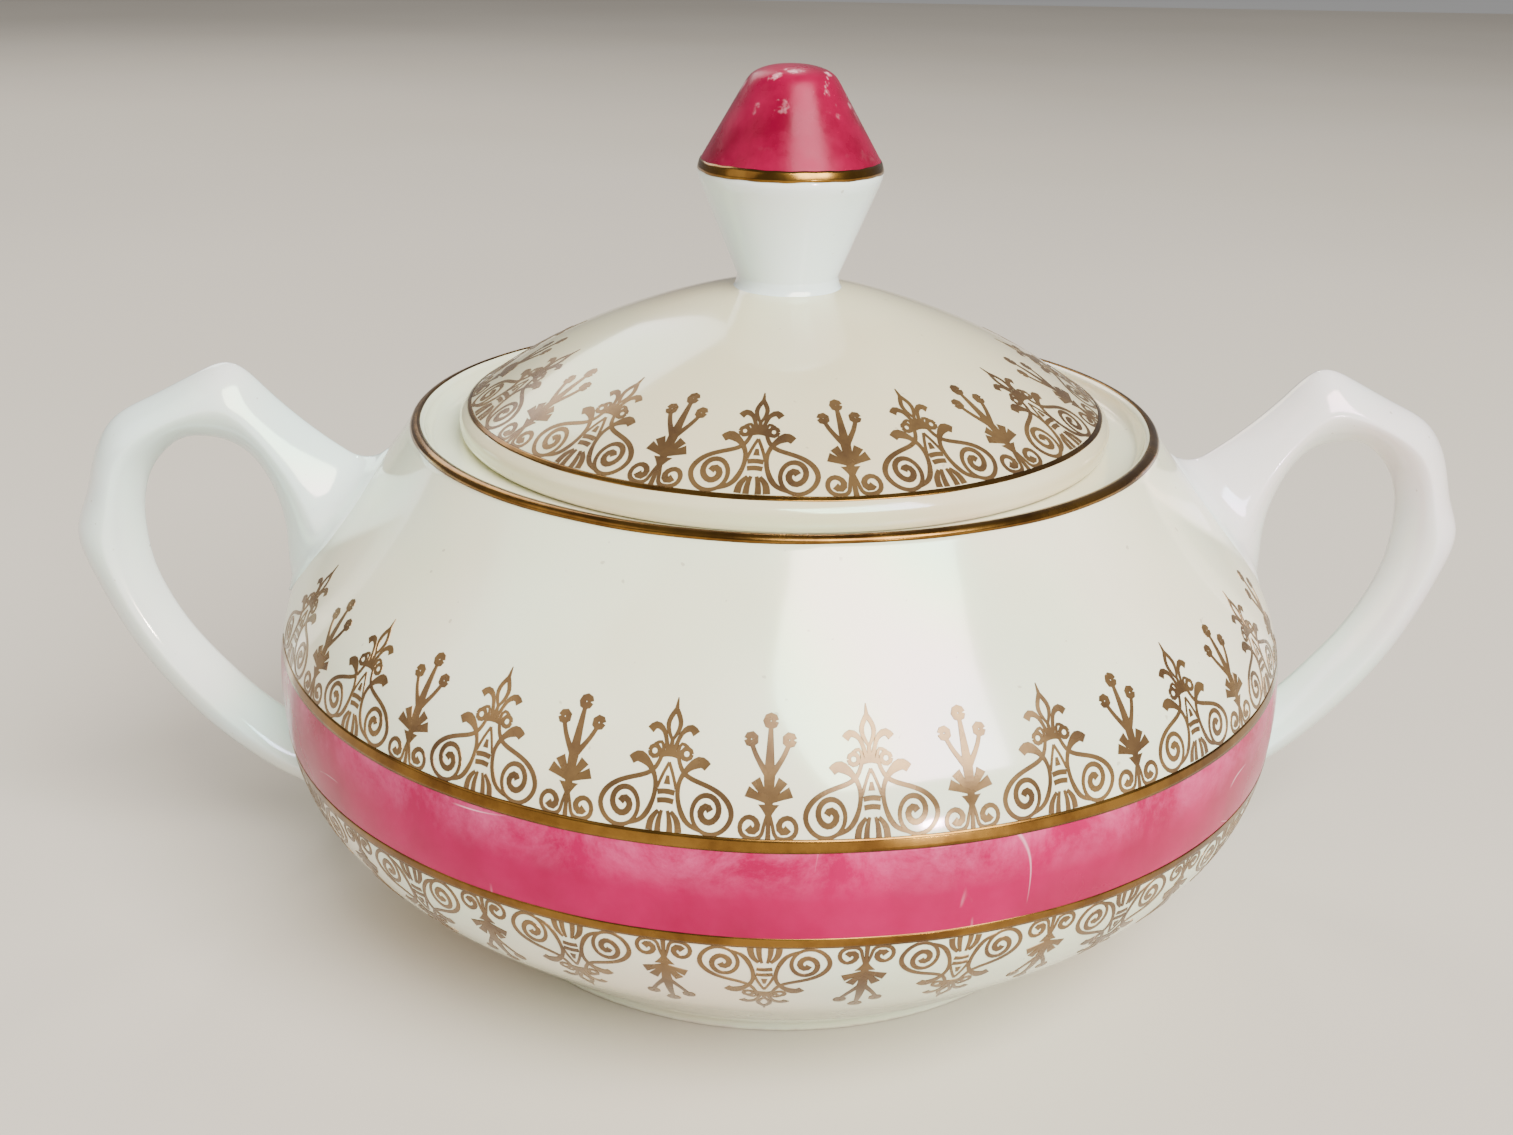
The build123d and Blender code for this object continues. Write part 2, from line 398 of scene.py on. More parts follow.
def palmette_motif():
    """Spear-topped palmette between two large volutes."""
    volute = Stroke(
        [(0.7, 7.6), (1.64, 5.6), (2.9, 5.0), (4.5, 4.45), (5.9, 3.5), (6.5, 2.2), (6.0, 0.95),
         (4.8, 0.25), (3.5, 0.55), (2.75, 1.6), (2.8, 2.9), (3.6, 3.75), (4.65, 3.65),
         (5.25, 2.8), (5.05, 1.8), (4.3, 1.35), (3.65, 1.75), (3.6, 2.5), (4.1, 2.8),
         (4.45, 2.4)],
        [0.36, 0.42, 0.42, 0.5, 0.42, 0.36, 0.42, 0.5, 0.55, 0.62])
    stem = Stroke(
        [(3.5, 0.5), (2.3, 1.1), (1.5, 2.3), (1.15, 3.6), (1.2, 4.8), (1.65, 5.75), (2.45, 6.5),
         (3.2, 6.75), (3.85, 6.35)], [0.3, 0.42, 0.5, 0.42, 0.42, 0.42, 0.55, 0.95, 0.75])
    leaf = Stroke([(0.3, 7.5), (0.65, 8.7), (1.15, 9.55), (1.8, 9.8), (2.35, 9.3)],
                  [0.42, 0.4, 0.42, 0.62, 0.7])
    side_loop = ring((1.62, 7.4), 0.5, 0.42)
    side_link = Stroke([(0.7, 7.1), (1.1, 8.3), (1.7, 8.0)], 0.32)
    spear_edge = Stroke([(0.05, 8.6), (0.62, 10.1), (0.05, 11.4)], [0.3, 0.46, 0.46])
    arch = Stroke([(0.95, 4.1), (0.5, 5.4), (0.0, 6.5)], 0.3)
    outer_petal = Stroke([(1.45, 0.15), (1.25, 1.2), (0.62, 2.05)], [0.62, 0.55, 0.34])
    inner_petal = Stroke([(0.6, 0.1), (0.52, 1.2), (0.28, 2.1)], [0.55, 0.48, 0.3])
    middle = [
        Stroke([(0, 11.1), (0, 12.6)], [0.55, 0.14], smooth=False),
        Stroke([(0, 7.0), (0, 8.9)], [0.5, 0.36], smooth=False),
        Stroke([(-1.0, 7.1), (0, 7.3), (1.0, 7.1)], 0.5),
        Stroke([(-0.85, 3.75), (0, 3.85), (0.85, 3.75)], 0.46),
        Stroke([(-0.8, 2.95), (0, 3.05), (0.8, 2.95)], 0.46),
        Stroke([(0, 4.5), (0, 5.3)], [0.6, 0.3], smooth=False),
    ]
    return middle + both_sides(
        [volute, stem, leaf, side_loop, side_link, spear_edge, arch, outer_petal, inner_petal])


def sprig_motif():
    """Three-berried sprig on a stem with two small spirals at its foot."""
    branch = Stroke([(0.15, 5.9), (0.85, 6.9), (1.45, 7.9), (1.8, 8.7)], [0.6, 0.46, 0.42])
    berry = ring((1.9, 9.2), 0.42, 0.62)
    upper_leaf = Stroke([(0.1, 3.7), (0.7, 4.5), (1.35, 5.5)], [0.3, 0.6, 0.9], smooth=False)
    lower_leaf = Stroke([(0.1, 3.5), (1.1, 4.0), (2.15, 4.45)], [0.3, 0.6, 0.9], smooth=False)
    small_spiral = Stroke(
        [(0.15, 2.3), (0.45, 1.2), (0.75, 0.35), (1.6, 0.1), (2.55, 0.55), (2.65, 1.5),
         (2.0, 2.1), (1.25, 1.85), (1.05, 1.2), (1.5, 0.8), (1.95, 1.15)],
        [0.3, 0.32, 0.36, 0.4, 0.42, 0.42, 0.42, 0.5, 0.6, 0.7])
    middle = [
        Stroke([(0, 0), (0, 1.2), (0, 2.4)], [0.5, 0.4, 0.36], smooth=False),
        Stroke([(0, 2.1), (0, 2.7), (0, 3.3)], [0.36, 0.9, 1.75], smooth=False),
        Stroke([(0, 3.3), (0, 5.8), (0, 10.4)], [0.7, 0.95, 0.42], smooth=False),
        ring((0, 10.95), 0.44, 0.66),
    ]
    return middle + both_sides([branch, berry, upper_leaf, lower_leaf, small_spiral])


def cross_rails(stroke):
    """The four edges of a ribbon's cross-section, each with its lift."""
    step = np.gradient(stroke.centre, axis=0)
    step /= np.linalg.norm(step, axis=1)[:, None] + 1e-9
    side = np.c_[-step[:, 1], step[:, 0]]
    half = stroke.width[:, None] / 2
    flat = np.maximum(half - PRINT_BEVEL, THINNEST)
    return [
        (stroke.centre + side * half, PRINT_SINK),
        (stroke.centre + side * flat, PRINT_RISE),
        (stroke.centre - side * flat, PRINT_RISE),
        (stroke.centre - side * half, PRINT_SINK),
    ]


def frieze(name, profile, start, direction, places, material, body, stretch):
    """Motifs set along a body of revolution, as one mesh.

    start is the distance along the profile where the motifs stand, direction is 1 or -1
    for the way that they grow along it, places lists (angle in degrees, motif), and
    stretch is how much wider and taller than drawn they come out.
    """
    vertices = []
    faces = []
    total = 0
    wider, taller = stretch
    base_radius = float(profile.at(start)[0])
    for degrees, motif in places:
        for stroke in motif:
            for rail, lift in cross_rails(stroke):
                distance = start + direction * taller * rail[:, 1]
                radius, height = profile.at(distance, lift)
                angle = radians(degrees) + wider * rail[:, 0] / (0.5 * (base_radius + radius))
                vertices.append(on_turn(radius, height, angle))
            count = len(stroke.centre)
            index = total + np.arange(4 * count).reshape(4, count)
            for i in range(count - 1):
                for k in range(4):
                    m = (k + 1) % 4
                    quad = (index[k, i], index[m, i], index[m, i + 1], index[k, i + 1])
                    faces.append(quad if direction > 0 else quad[::-1])
            for cap in (index[::-1, 0], index[:, -1]):
                faces.append(tuple(cap) if direction > 0 else tuple(cap[::-1]))
            total += 4 * count
    return new_object(name, np.concatenate(vertices), faces, material, body, smooth=False)


# ======================================================================= materials
class Nodes:
    """Short calls for building one node material."""

    def __init__(self, name):
        self.material = bpy.data.materials.new(name)
        self.material.use_nodes = True
        self.tree = self.material.node_tree
        self.shader = self.tree.nodes["Principled BSDF"]
        coordinates = self.tree.nodes.new("ShaderNodeTexCoord")
        self.place = coordinates.outputs["Object"]

    def feed(self, socket, value):
        """Set a socket from a number, a colour or another node's output."""
        if isinstance(value, (int, float)):
            socket.default_value = value
        elif isinstance(value, tuple):
            socket.default_value = (*value, 1.0) if len(socket.default_value) == 4 else value
        else:
            self.tree.links.new(value, socket)

    def stretched(self, scale, turn):
        """Object coordinates stretched along three axes and turned by three angles."""
        node = self.tree.nodes.new("ShaderNodeMapping")
        node.inputs["Scale"].default_value = scale
        node.inputs["Rotation"].default_value = [radians(angle) for angle in turn]
        self.tree.links.new(self.place, node.inputs["Vector"])
        return node.outputs["Vector"]

    def noise(self, scale, detail=3.0, roughness=0.5, distortion=0.0, place=None):
        """Noise from 0 to 1, with scale blobs to the metre."""
        node = self.tree.nodes.new("ShaderNodeTexNoise")
        node.inputs["Scale"].default_value = scale
        node.inputs["Detail"].default_value = detail
        node.inputs["Roughness"].default_value = roughness
        node.inputs["Distortion"].default_value = distortion
        self.tree.links.new(place or self.place, node.inputs["Vector"])
        return node.outputs["Fac"]

    def height(self, low, high):
        """0 at the height low and below, 1 at high and above, in millimetres."""
        axes = self.tree.nodes.new("ShaderNodeSeparateXYZ")
        self.tree.links.new(self.place, axes.inputs["Vector"])
        node = self.tree.nodes.new("ShaderNodeMapRange")
        self.tree.links.new(axes.outputs["Z"], node.inputs["Value"])
        node.inputs["From Min"].default_value = low * MM
        node.inputs["From Max"].default_value = high * MM
        return node.outputs["Result"]

    def ramp(self, value, stops):
        """Colour ramp from (position, colour) stops; a number stands for a grey."""
        node = self.tree.nodes.new("ShaderNodeValToRGB")
        elements = node.color_ramp.elements
        while len(elements) < len(stops):
            elements.new(0.5)
        for element, (position, colour) in zip(elements, stops):
            element.position = position
            if isinstance(colour, (int, float)):
                colour = (colour,) * 3
            element.color = (*colour, 1.0)
        self.tree.links.new(value, node.inputs["Fac"])
        return node.outputs["Color"]

    def mix(self, factor, first, second):
        """The first colour at a factor of 0, the second at 1."""
        node = self.tree.nodes.new("ShaderNodeMix")
        node.data_type = "RGBA"
        factor_socket, first_socket, second_socket = (node.inputs[i] for i in (0, 6, 7))
        self.feed(factor_socket, factor)
        self.feed(first_socket, first)
        self.feed(second_socket, second)
        return node.outputs[2]

    def math(self, operation, first, second):
        """Result of an operation on two numbers."""
        node = self.tree.nodes.new("ShaderNodeMath")
        node.operation = operation
        self.feed(node.inputs[0], first)
        self.feed(node.inputs[1], second)
        return node.outputs[0]

    def bump(self, height, strength, distance):
        """Relief in the surface, from a height of 0 to 1 and a distance in metres."""
        node = self.tree.nodes.new("ShaderNodeBump")
        node.inputs["Strength"].default_value = strength
        node.inputs["Distance"].default_value = distance
        self.tree.links.new(height, node.inputs["Height"])
        self.tree.links.new(node.outputs["Normal"], self.shader.inputs["Normal"])

    def set(self, **values):
        """Set the shader's inputs; an underscore stands for a space."""
        for key, value in values.items():
            self.feed(self.shader.inputs[key.replace("_", " ")], value)


# heights between which bare biscuit gives way to glaze, above the face that the bowl stands
# on and above the lid's flange
FOOT_BARE = (0.3, 0.7)
FLANGE_BARE = (61.3, 62.0)

# colours, in linear light
BISCUIT = (0.70, 0.62, 0.50)  # unglazed porcelain, a little soiled
SPECK = (0.33, 0.25, 0.17)    # iron speck in a glaze
SCRATCH = (0.90, 0.52, 0.62)
WORN_CARMINE = (0.82, 0.42, 0.48)
FLOOR_DARK = (0.56, 0.51, 0.44)
FLOOR_LIGHT = (0.60, 0.55, 0.48)


def glaze(name, light, shade, lustre, bare=None):
    """Glossy glaze: slow colour drift, pink and aqua tints of painted sheen, a few specks and
    ripples.

    lustre, 0 to 1, is the strength of the painted sheen tints. bare is a (low, high) pair of
    heights:
    the glaze fades from full at the high one to bare biscuit at the low one and below.
    """
    n = Nodes(name)
    colour = n.ramp(n.noise(38, detail=2), [(0.35, shade), (0.62, light)])
    # painted sheen: pink and aqua tints in the colour stand in for the glaze's pearly reflections;
    # the thin film further down gives real ones
    pink = tuple(c * k for c, k in zip(light, (1.08, 0.90, 0.96)))
    aqua = tuple(c * k for c, k in zip(light, (0.90, 1.03, 1.06)))
    painted_sheen_tint = n.ramp(n.noise(26, detail=1, distortion=0.8),
                  [(0.36, pink), (0.5, light), (0.64, aqua)])
    colour = n.mix(lustre, colour, painted_sheen_tint)
    specks = n.ramp(n.noise(900, detail=1), [(0.77, 0.0), (0.8, 0.4)])
    colour = n.mix(specks, colour, SPECK)
    roughness = n.ramp(n.noise(60, detail=4), [(0.3, 0.09), (0.75, 0.17)])
    gloss = 1.0
    if bare:
        gloss = n.height(*bare)
        colour = n.mix(gloss, n.ramp(n.noise(700), [(0.3, BISCUIT), (0.7, light)]), colour)
        roughness = n.mix(gloss, (0.8, 0.8, 0.8), roughness)
    n.set(Base_Color=colour, Roughness=roughness)
    n.set(IOR=1.52, Coat_Weight=n.math("MULTIPLY", gloss, 0.4), Coat_Roughness=0.04, Coat_IOR=1.5)
    n.set(Subsurface_Weight=0.08, Subsurface_Radius=(0.004, 0.003, 0.002),
          Subsurface_Scale=0.5)
    micrometres = n.ramp(n.noise(24, detail=1), [(0.3, 0.30), (0.7, 0.52)])
    nanometres = n.math("MULTIPLY", micrometres, 1000.0)
    n.set(Thin_Film_Thickness=nanometres, Thin_Film_IOR=1.65)
    n.bump(n.noise(220, detail=1), strength=0.05, distance=0.0004)
    return n.material


def scratch_lines(n, scale, stretch, turn, cover):
    """Broken hairlines: thin contours of a stretched noise, kept only in some patches.

    A larger cover keeps them in more places.
    """
    field = n.noise(scale, detail=2, place=n.stretched(stretch, turn))
    lines = n.ramp(field, [(0.4965, 0.0), (0.5, 1.0), (0.5035, 0.0)])
    patches = n.ramp(n.noise(scale * 0.8, detail=3), [(1 - cover, 0.0), (1.06 - cover, 1.0)])
    return n.math("MULTIPLY", lines, patches)


def raspberry_enamel():
    """Pink band: a cloudy paleness towards its top edge that is painted sheen, and fine handling
    scratches.
    """
    n = Nodes("raspberry_enamel")
    deep = (0.27, 0.0, 0.040)
    bright = (0.43, 0.0, 0.083)
    pale = (0.70, 0.13, 0.30)
    colour = n.ramp(n.noise(45, detail=4, roughness=0.6), [(0.35, deep), (0.66, bright)])
    # painted sheen: paler pink in clouds that grows towards the band's top edge, where the band
    # turns up to the light
    sheen_clouds = n.ramp(n.noise(110, detail=8, roughness=0.74, distortion=0.3),
                   [(0.42, 0.0), (0.66, 1.0)])
    top_edge = n.height(32.0, 37.5)
    painted_sheen = n.math("MULTIPLY", sheen_clouds, n.math("ADD", n.math("MULTIPLY", top_edge, 0.65), 0.04))
    colour = n.mix(painted_sheen, colour, pale)
    steep = scratch_lines(n, scale=60, stretch=(1, 1, 0.25), turn=(0, 24, 18), cover=0.50)
    colour = n.mix(n.math("MULTIPLY", steep, 0.8), colour, SCRATCH)
    level = scratch_lines(n, scale=75, stretch=(0.3, 0.3, 1), turn=(0, 12, 0), cover=0.44)
    colour = n.mix(n.math("MULTIPLY", level, 0.8), colour, SCRATCH)
    n.set(Base_Color=colour)
    n.set(Roughness=n.ramp(n.noise(120, detail=5), [(0.35, 0.15), (0.75, 0.30)]))
    n.set(IOR=1.36, Specular_Tint=(1.0, 0.40, 0.58))
    n.bump(n.noise(500, detail=3), strength=0.06, distance=0.0002)
    return n.material


def carmine_enamel():
    """Deep red on the knob's upper cone, rubbed through to white in spots near the tip."""
    n = Nodes("carmine_enamel")
    deep = (0.15, 0.0, 0.017)
    bright = (0.25, 0.0, 0.035)
    colour = n.ramp(n.noise(150, detail=4, roughness=0.6), [(0.35, deep), (0.65, bright)])
    spots = n.ramp(n.noise(330, detail=4, roughness=0.6), [(0.60, 0.0), (0.70, 0.85)])
    near_tip = n.ramp(n.height(97.0, 104.0), [(0.15, 0.06), (0.9, 1.0)])
    colour = n.mix(n.math("MULTIPLY", spots, near_tip), colour, WORN_CARMINE)
    n.set(Base_Color=colour)
    n.set(Roughness=n.ramp(n.noise(300, detail=5), [(0.35, 0.22), (0.75, 0.42)]))
    n.set(IOR=1.40, Specular_Tint=(1.0, 0.40, 0.50))
    n.bump(n.noise(700, detail=3), strength=0.12, distance=0.0002)
    return n.material


def gold(name, bright, dull, roughness, metallic):
    """Thin fired gold, uneven and rubbed."""
    n = Nodes(name)
    colour = n.ramp(n.noise(140, detail=5, roughness=0.65), [(0.36, dull), (0.62, bright)])
    n.set(Base_Color=colour, Metallic=metallic)
    n.set(Roughness=n.ramp(n.noise(210, detail=4), [(0.3, roughness), (0.8, roughness + 0.16)]))
    n.bump(n.noise(900, detail=2), strength=0.05, distance=0.0001)
    return n.material


# ======================================================================= pieces
def bowl_piece(profile, material):
    """Bowl with its rounded rim, the ledge for the lid and the foot ring."""
    crest_r = RIM_R - RIM_WALL / 2
    inner_r = RIM_R - RIM_WALL
    rim_z = RIM_Z - RIM_WALL / 2
    foot_inner_r = FOOT_R - FOOT_WIDTH
    foot = round_corners(
        [(0, FOOT_RECESS), (foot_inner_r - FOOT_SLOPE, FOOT_RECESS), (foot_inner_r, 0),
         (FOOT_R, 0), (FOOT_R, FOOT_TOP_Z)], EDGE_ROUND)
    rim = arc((crest_r, rim_z), RIM_WALL / 2, 0, 180, count=17)
    ledge = round_corners(
        [(inner_r, rim_z), (SEAT_OUTER_R, SEAT_Z), (SEAT_INNER_R, SEAT_Z),
         (SEAT_INNER_R, SEAT_Z - SEAT_DEPTH), BOWL_INSIDE[0]], EDGE_ROUND)
    inside = natural_spline(BOWL_INSIDE, count=70)
    outline = np.vstack([
        foot[:-1], profile.points, rim[1:], ledge[1:], inside[1:], [(0, FLOOR_Z)]])
    piece = lathe("bowl_glazed", outline, material, "bowl")
    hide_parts("bowl_body")


def lid_piece(profile, material):
    """Dome of the lid with its lip and the flange that drops into the mouth."""
    lip = round_corners(
        [tuple(profile.points[-2]), (LIP_R - LIP_ROUND, LIP_TOP_Z), (LIP_R, LIP_TOP_Z - LIP_ROUND),
         (LIP_R, SEAT_Z + LIP_ROUND), (LIP_R - LIP_ROUND, SEAT_Z), (FLANGE_R, SEAT_Z),
         (FLANGE_R, FLANGE_BOTTOM_Z), (FLANGE_R - FLANGE_WALL, FLANGE_BOTTOM_Z),
         DOME_INSIDE[0]], LIP_ROUND)
    inside = natural_spline(DOME_INSIDE, count=40)
    outline = np.vstack([profile.points[:-2], lip, inside[1:]])
    piece = lathe("lid_glazed", outline[::-1], material, "lid")
    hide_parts("lid_dome")


def knob_pieces(white, carmine, gilt):
    """Knob: white lower cone, gold line round the belt and carmine upper cone."""
    foot = natural_spline(KNOB_FOOT_CURVE, count=10)
    belt_middle = (KNOB_BELT_LOW + KNOB_BELT_HIGH) / 2
    belt = natural_spline(
        [(KNOB_BELT_R, KNOB_BELT_LOW), (KNOB_BELT_R + KNOB_BELT_BULGE, belt_middle),
         (KNOB_BELT_R, KNOB_BELT_HIGH)], count=25)
    tip = natural_spline(KNOB_TIP_CURVE, count=24)
    trim = 6                  # samples of the belt that the rounding takes at each end
    lower = round_corners([KNOB_NECK, belt[0], belt[trim]], KNOB_EDGE_ROUND)
    upper = round_corners([belt[-trim], belt[-1], KNOB_TIP], KNOB_EDGE_ROUND)
    outside = np.vstack([lower, belt[trim + 1:-trim], upper, tip[1:]])
    join = (KNOB_GOLD[0] + KNOB_GOLD[1]) / 2
    below = outside[outside[:, 1] < join]
    above = outside[outside[:, 1] > join]
    seam_r = float(np.interp(join, outside[:, 1], outside[:, 0]))
    root = [(0, KNOB_ROOT_Z), (KNOB_ROOT_R, KNOB_ROOT_Z)]
    seam = [(seam_r, join), (0, join)]
    body = lathe("knob_glazed", np.vstack([root, foot[:-1], below, seam]), white, "lid")
    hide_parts("lid_knob")
    top = lathe("knob_carmine_tip", np.vstack([seam[::-1], above]), carmine, "lid")
    profile = Profile(outside)
    reach = [profile.distance_at_height(z) for z in KNOB_GOLD]
    line = skin("knob_gold_line", profile, reach, KNOB_LINE_FILM, gilt, "lid", FULL_TURN,
                wobble=0.06)


def clearance(spots, profile):
    """Distance from points to the bowl's outside, negative inside it, and its direction."""
    radius = np.hypot(spots[:, 0], spots[:, 1])
    offset = np.c_[radius, spots[:, 2]][:, None, :] - profile.points[None, :, :]
    nearest = np.argmin((offset ** 2).sum(axis=2), axis=1)
    rows = np.arange(len(spots))
    facing = profile.normal[nearest]
    gap = (offset[rows, nearest] * facing).sum(axis=1)
    outward = np.c_[spots[:, :2] / radius[:, None] * facing[:, :1], facing[:, 1]]
    return gap, outward


def luted(spots, away, bowl_profile):
    """A handle's ring of points with its fillet added and its buried part drawn back.

    away holds each point's direction from the middle of the ring. Near the bowl a point
    moves that way along the wall; deep inside the wall it is brought back towards it.
    """
    gap, outward = clearance(spots, bowl_profile)
    along_wall = away - outward * (away * outward).sum(axis=1)[:, None]
    along_wall /= np.linalg.norm(along_wall, axis=1)[:, None] + 1e-6
    near = np.clip(LUTE_FILLET - gap, 0, LUTE_FILLET)
    bulge = LUTE_FILLET - np.sqrt(LUTE_FILLET ** 2 - near ** 2)
    too_deep = np.maximum(-BURIED - gap, 0)
    bulge[too_deep > 0] = 0
    return spots + along_wall * bulge[:, None] + outward * too_deep[:, None]


def handle_rings(bowl_profile):
    """Rings of points down the handle on the +X side."""
    turn = np.arange(HANDLE_AROUND) * tau / HANDLE_AROUND
    power = 2 / SECTION_POWER
    local_x = np.sign(np.cos(turn)) * np.abs(np.cos(turn)) ** power
    local_y = np.sign(np.sin(turn)) * np.abs(np.sin(turn)) ** power
    stations = [[*inner, *outer, half] for inner, outer, half in HANDLE_STATIONS]
    rings = []
    for inner_r, inner_z, outer_r, outer_z, half_width in natural_spline(stations, HANDLE_ALONG):
        reach = np.array([outer_r - inner_r, outer_z - inner_z]) / 2
        away = np.c_[local_x * reach[0], local_y * half_width, local_x * reach[1]]
        spots = away + [(inner_r + outer_r) / 2, 0, (inner_z + outer_z) / 2]
        away /= np.linalg.norm(away, axis=1)[:, None]
        rings.append(luted(spots, away, bowl_profile))
    return rings


def handle_piece(side, bowl_profile, material):
    """Handle on the +X side for a side of 1, and its mirror image for -1."""
    vertices = np.concatenate(handle_rings(bowl_profile)) * [side, 1, 1]
    around = HANDLE_AROUND
    faces = []
    for i in range(HANDLE_ALONG - 1):
        for k in range(around):
            m = (k + 1) % around
            quad = (i * around + k, i * around + m, (i + 1) * around + m, (i + 1) * around + k)
            faces.append(quad if side < 0 else quad[::-1])
    first = tuple(range(around))
    last = tuple(range((HANDLE_ALONG - 1) * around, HANDLE_ALONG * around))
    faces.append(first if side > 0 else first[::-1])
    faces.append(last if side < 0 else last[::-1])
    name = "right" if side > 0 else "left"
    piece = new_object(f"handle_{name}_glazed", vertices, faces, material, "bowl")
    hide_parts(f"handle_{name}")


def motif_row(start, step, count, first, second):
    """Angles of a row in which two motifs stand by turns."""
    return [(start + step * k, (first, second)[k % 2]) for k in range(count)]


def bowl_decoration(profile, raspberry, gilt, print_gold):
    """Raspberry band between two gold bands, with a frieze above and below."""
    spans = [(centre - BAND_HALF_SPAN, centre + BAND_HALF_SPAN) for centre in (0, 180)]
    upper = [profile.distance_at_height(z) for z in UPPER_GOLD]
    lower = [profile.distance_at_height(z) for z in LOWER_GOLD]
    between = (lower[1] - BAND_OVERLAP, upper[0] + BAND_OVERLAP)
    band = skin("raspberry_band", profile, between, RASPBERRY_FILM, raspberry, "bowl", spans)
    for name, reach in (("gold_band_upper", upper), ("gold_band_lower", lower)):
        line = skin(name, profile, reach, GOLD_BAND_FILM, gilt, "bowl", spans, wobble=0.05)
    crest_middle = (RIM_R - RIM_WALL / 2, RIM_Z - RIM_WALL / 2)
    crest = Profile(arc(crest_middle, RIM_WALL / 2, *RIM_GOLD_ARC, count=25))
    reach = (END_GAP, crest.length[-1] - END_GAP)
    line = skin("gold_rim_line", crest, reach, RIM_LINE_FILM, gilt, "bowl", FULL_TURN,
                wobble=0.04)
    palmette = palmette_motif()
    sprig = sprig_motif()
    for name, start, direction, first, second in (
            ("frieze_upper", upper[1] - PRINT_OVERLAP, 1, palmette, sprig),
            ("frieze_lower", lower[0] + PRINT_OVERLAP, -1, sprig, palmette)):
        places = []
        for centre in (0, 180):
            places += motif_row(centre + PRINT_START, PRINT_STEP, PRINT_MOTIFS, first, second)
        piece = frieze(name, profile, start, direction, places, print_gold, "bowl",
                       BOWL_PRINT_STRETCH)


def lid_decoration(profile, gilt, print_gold):
    """Gold line at the dome's edge with a frieze standing on it."""
    edge = profile.distance_at_radius(LIP_R - LIP_ROUND)
    reach = [edge - inset for inset in LID_GOLD]
    line = skin("gold_lid_line", profile, reach, LID_LINE_FILM, gilt, "lid", FULL_TURN,
                wobble=0.04)
    places = motif_row(LID_PRINT_START, 360 / LID_MOTIFS, LID_MOTIFS, palmette_motif(),
                       sprig_motif())
    piece = frieze("frieze_lid", profile, edge - LID_PRINT_FOOT, -1, places, print_gold, "lid",
                   LID_PRINT_STRETCH)


# ======================================================================= stage
LIGHTS_AIM = (0, 0, 0.05)     # the middle of the bowl
SPARKLE = (1.0, 0.99, 0.96)   # colour of the two small lights


def make_camera():
    """Camera at the photograph's angle, close to the bowl and a little above it."""
    distance = 203.3          # from the bowl's axis
    height = 122.5
    turn = radians(4.0)       # how far it stands to the left of the front
    heading = radians(3.15)   # how far it looks to the right of +Y
    pitch = radians(21.62)    # and down
    roll = radians(1.2)
    position = Vector((-distance * sin(turn), -distance * cos(turn), height)) * MM
    forward = Vector((sin(heading) * cos(pitch), cos(heading) * cos(pitch), -sin(pitch)))
    level = Vector((cos(heading), -sin(heading), 0))
    up = level.cross(forward)
    right = level * cos(roll) + up * sin(roll)
    top = up * cos(roll) - level * sin(roll)
    rotation = Matrix((right, top, -forward)).transposed()
    data = bpy.data.cameras.new("camera")
    data.sensor_width = 36.0
    data.lens = 40.45
    data.clip_start = 0.01
    camera = bpy.data.objects.new("camera", data)
    camera.matrix_world = Matrix.Translation(position) @ rotation.to_4x4()
    bpy.context.scene.collection.objects.link(camera)
    bpy.context.scene.camera = camera


def area_light(name, place, size, power, colour, height=None, only_gloss=False):
    """Softbox aimed at the middle of the bowl; a strip when it has a height.

    One that is only for gloss adds no diffuse light, so all that it leaves on the floor is
    the paper's own reflection of it, which shows as a small spot from behind the bowl.
    """
    data = bpy.data.lights.new(name, "AREA")
    data.size = size
    if height:
        data.shape = "RECTANGLE"
        data.size_y = height
    data.energy = power
    data.color = colour
    light = bpy.data.objects.new(name, data)
    aim = Vector(LIGHTS_AIM) - Vector(place)
    light.rotation_euler = aim.to_track_quat("-Z", "Y").to_euler()
    light.location = place
    light.visible_diffuse = not only_gloss
    bpy.context.scene.collection.objects.link(light)


def make_floor():
    """Pale paper, four metres across."""
    floor_mesh = bpy.data.meshes.new("floor")
    half = 2.0
    corners = [(-half, -half, 0), (half, -half, 0), (half, half, 0), (-half, half, 0)]
    floor_mesh.from_pydata(corners, [], [(0, 1, 2, 3)])
    n = Nodes("floor_paper")
    n.set(Base_Color=n.ramp(n.noise(3, detail=2), [(0.3, FLOOR_DARK), (0.7, FLOOR_LIGHT)]))
    n.set(Roughness=0.7)
    floor_mesh.materials.append(n.material)
    floor = bpy.data.objects.new("floor", floor_mesh)
    bpy.context.scene.collection.objects.link(floor)


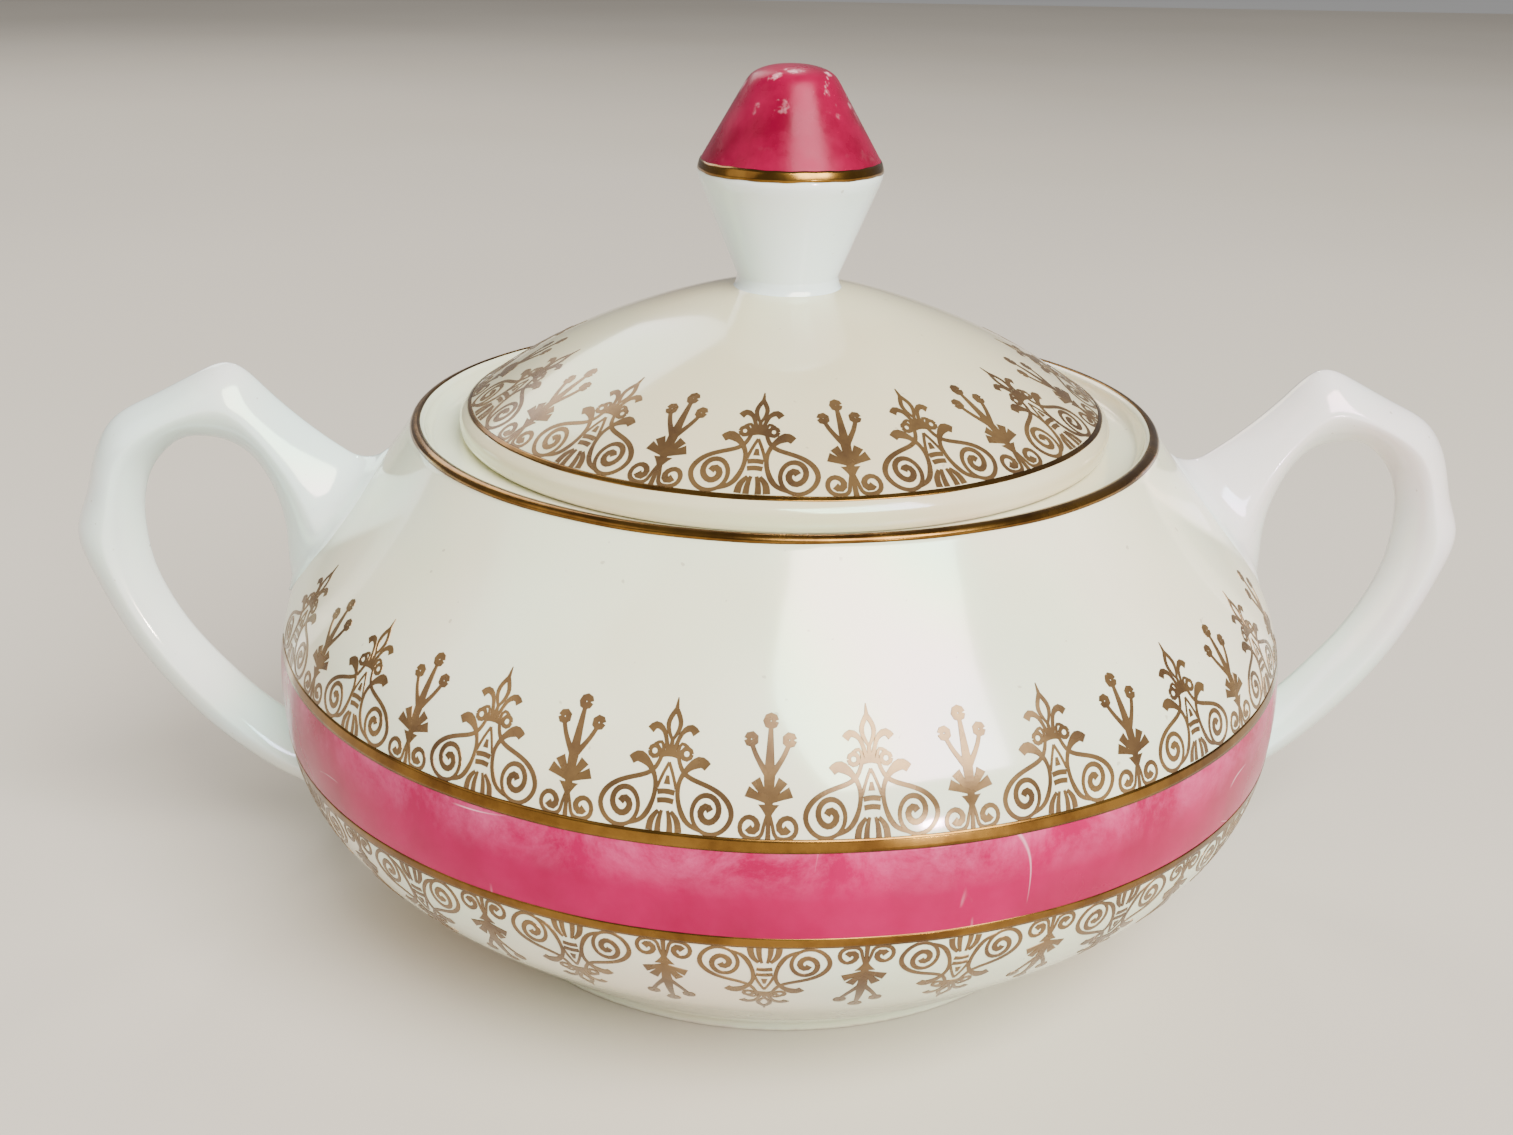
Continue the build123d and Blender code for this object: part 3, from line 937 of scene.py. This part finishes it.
def make_lights():
    """Even grey surroundings, three softboxes and two small lights for sparkle."""
    world = bpy.data.worlds.new("studio")
    world.use_nodes = True
    background = world.node_tree.nodes["Background"]
    background.inputs["Color"].default_value = (0.86, 0.85, 0.84, 1)
    background.inputs["Strength"].default_value = 0.36
    bpy.context.scene.world = world
    area_light("key_softbox", (0.45, -0.85, 0.95), size=0.9, power=52.0, colour=(1.0, 0.985, 0.94))
    area_light("fill_softbox", (-0.95, -0.35, 0.6), size=0.8, power=2.5, colour=(1.0, 0.90, 0.76))
    area_light("back_softbox", (-0.5, 0.9, 0.8), size=0.6, power=5.0, colour=(1.0, 0.96, 0.9))
    area_light("glint", (0.245, -0.50, 0.035), size=0.035, power=0.8, colour=SPARKLE,
               only_gloss=True)
    area_light("strip", (0.065, 0.60, 0.73), size=0.02, height=0.25, power=0.8, colour=SPARKLE)


def main():
    """Materials, then the object, then the camera and its surroundings."""
    # one ivory glaze in four colours: the handles' and the knob's cooler, greener white is painted
    # reflection, and the lid's darker, warmer cream is painted shade
    body_glaze = glaze("body_glaze", light=(0.87, 0.88, 0.66), shade=(0.80, 0.79, 0.56),
                       lustre=0.4, bare=FOOT_BARE)
    handle_glaze = glaze("handle_glaze", light=(0.80, 0.88, 0.83), shade=(0.74, 0.79, 0.70),
                         lustre=0.8)
    lid_glaze = glaze("lid_glaze", light=(0.74, 0.67, 0.45), shade=(0.68, 0.60, 0.37),
                      lustre=0.25, bare=FLANGE_BARE)
    knob_glaze = glaze("knob_glaze", light=(0.82, 0.91, 0.90), shade=(0.78, 0.85, 0.82),
                       lustre=0.4)
    raspberry = raspberry_enamel()
    carmine = carmine_enamel()
    gilt = gold("burnished_gold", bright=(0.26, 0.135, 0.030), dull=(0.13, 0.06, 0.015),
                roughness=0.16, metallic=1.0)
    print_gold = gold("printed_gold", bright=(0.22, 0.130, 0.052), dull=(0.12, 0.066, 0.030),
                      roughness=0.20, metallic=0.6)

    bowl_profile = Profile(natural_spline(BOWL_OUTSIDE, count=140))
    dome_profile = Profile(natural_spline(DOME_OUTSIDE, count=70))
    bowl_piece(bowl_profile, body_glaze)
    for side in (1, -1):
        handle_piece(side, bowl_profile, handle_glaze)
    lid_piece(dome_profile, lid_glaze)
    knob_pieces(knob_glaze, carmine, gilt)
    bowl_decoration(bowl_profile, raspberry, gilt, print_gold)
    lid_decoration(dome_profile, gilt, print_gold)
    make_camera()
    make_floor()
    make_lights()


main()
